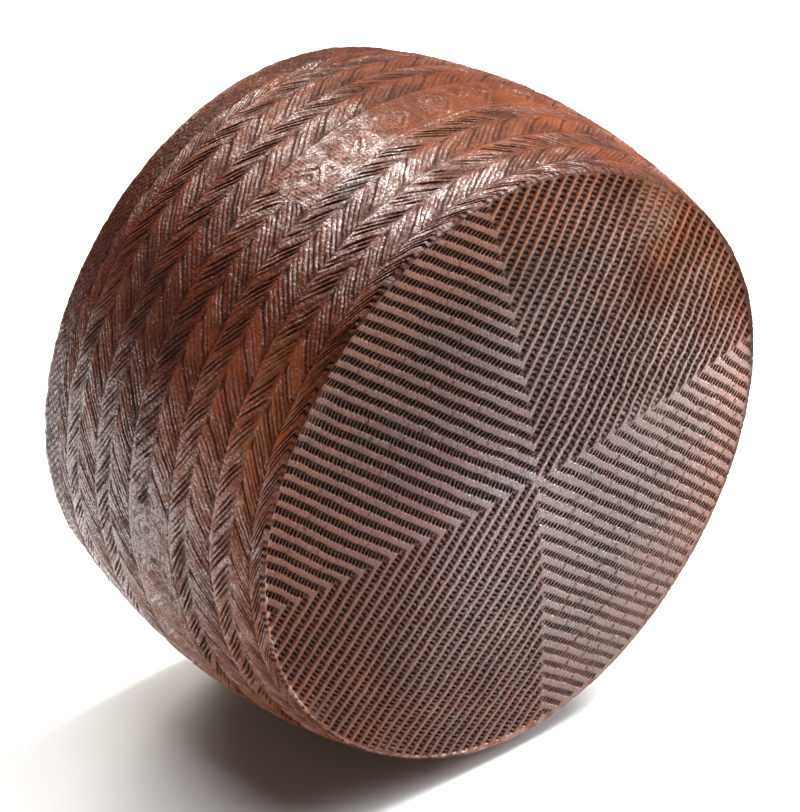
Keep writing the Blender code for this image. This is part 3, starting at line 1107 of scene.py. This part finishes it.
def rind_material():
    """Dark chestnut rind under a worn coat of wax, rusty where it is thin."""
    material = bpy.data.materials.new("waxed_rind")
    nodes = Nodes(material)
    inputs = nodes.shader.inputs
    shade = nodes.attribute("shade")
    wall = nodes.attribute("wall")
    speck = nodes.noise(0.9 * MM, 3.0, 0.6)
    dots = nodes.noise(0.75 * MM, 1.0)
    nodes.join(rind_colour(nodes, shade, wall, speck, dots), inputs["Base Color"])
    rough = nodes.plus(nodes.ranged(speck, 0.3, 0.7, 0.36, 0.5), nodes.times(shade, 0.2))
    nodes.join(rough, inputs["Roughness"])
    inputs["IOR"].default_value = RIND_IOR
    nodes.join(wax_weight(nodes, shade, wall, dots), inputs["Coat Weight"])
    inputs["Coat Roughness"].default_value = WAX_ROUGHNESS
    inputs["Coat IOR"].default_value = WAX_IOR
    nodes.join(rind_bump(nodes, wall, dots), inputs["Normal"])
    nodes.join(nodes.bump(nodes.noise(0.8 * MM), 0.34 * MM), inputs["Coat Normal"])
    return material


# Stage


CAMERA_TURN = math.radians(-39.70)
CAMERA_RISE = math.radians(30.98)
CAMERA_DISTANCE = 1.035
CAMERA_SLIDE = (-1.40 * MM, -1.55 * MM)
CAMERA_LENS = 156.99
SENSOR_WIDTH = 36
FLOOR_HALF = 4.0
FLOOR_GREY = 0.66
FLOOR_ROUGHNESS = 0.6
WORLD_LIGHT = 0.02

# Each lamp's name, place, size, power in watts and colour
LIGHTS = (
    ("key", (0.95, -0.08, 1.2), (0.7, 0.7), 70, (1, 1, 1)),
    ("top", (0.0, -0.05, 1.6), (1.25, 1.25), 31, (1, 1, 1)),
    ("back", (0.22, 0.85, 0.92), (0.9, 0.5), 15, (1, 0.95, 0.88)),
    ("front", (0.34, -0.24, 0.2), (0.2, 0.2), 1.8, (1, 1, 1)),
    ("glint", (-0.9, 0.1, 0.4), (0.06, 0.06), 0.6, (1, 0.84, 0.68)),
)


def add_camera():
    """Looks at the wheel from the photograph's side and height."""
    data = bpy.data.cameras.new("camera")
    data.sensor_fit = "HORIZONTAL"
    data.sensor_width = SENSOR_WIDTH
    data.lens = CAMERA_LENS
    camera = bpy.data.objects.new("camera", data)
    bpy.context.scene.collection.objects.link(camera)
    level = math.cos(CAMERA_RISE)
    away = Vector((
        math.sin(CAMERA_TURN) * level,
        -math.cos(CAMERA_TURN) * level,
        math.sin(CAMERA_RISE),
    ))
    turned = (-away).to_track_quat("-Z", "Y")
    slide = turned @ Vector((*CAMERA_SLIDE, 0))
    camera.location = Vector((0, 0, CENTRE_HEIGHT)) + away * CAMERA_DISTANCE + slide
    camera.rotation_euler = turned.to_euler()
    bpy.context.scene.camera = camera


def add_floor():
    mesh = bpy.data.meshes.new("floor")
    low, high = -FLOOR_HALF, FLOOR_HALF
    corners = [(low, low, 0), (high, low, 0), (high, high, 0), (low, high, 0)]
    mesh.from_pydata(corners, [], [(0, 1, 2, 3)])
    floor = bpy.data.objects.new("floor", mesh)
    material = bpy.data.materials.new("floor")
    material.use_nodes = True
    shader = material.node_tree.nodes["Principled BSDF"]
    shader.inputs["Base Color"].default_value = (FLOOR_GREY, FLOOR_GREY, FLOOR_GREY, 1)
    shader.inputs["Roughness"].default_value = FLOOR_ROUGHNESS
    mesh.materials.append(material)
    bpy.context.scene.collection.objects.link(floor)


def add_light(name, place, size, power, colour):
    """A flat lamp that looks at the middle of the wheel."""
    data = bpy.data.lights.new(name, "AREA")
    data.shape = "RECTANGLE"
    data.size, data.size_y = size
    data.energy = power
    data.color = colour
    light = bpy.data.objects.new(name, data)
    bpy.context.scene.collection.objects.link(light)
    light.location = place
    target = Vector((0, 0, CENTRE_HEIGHT))
    light.rotation_euler = (target - Vector(place)).to_track_quat("-Z", "Y").to_euler()


def add_world():
    world = bpy.data.worlds.new("studio")
    bpy.context.scene.world = world
    world.use_nodes = True
    background = world.node_tree.nodes["Background"]
    background.inputs["Color"].default_value = (1, 1, 1, 1)
    background.inputs["Strength"].default_value = WORLD_LIGHT


def main():
    bpy.context.scene.view_settings.view_transform = "Standard"
    for piece in rind(rind_material()):
        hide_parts("cheese_wheel")
    add_camera()
    add_floor()
    add_world()
    for light in LIGHTS:
        add_light(*light)


main()
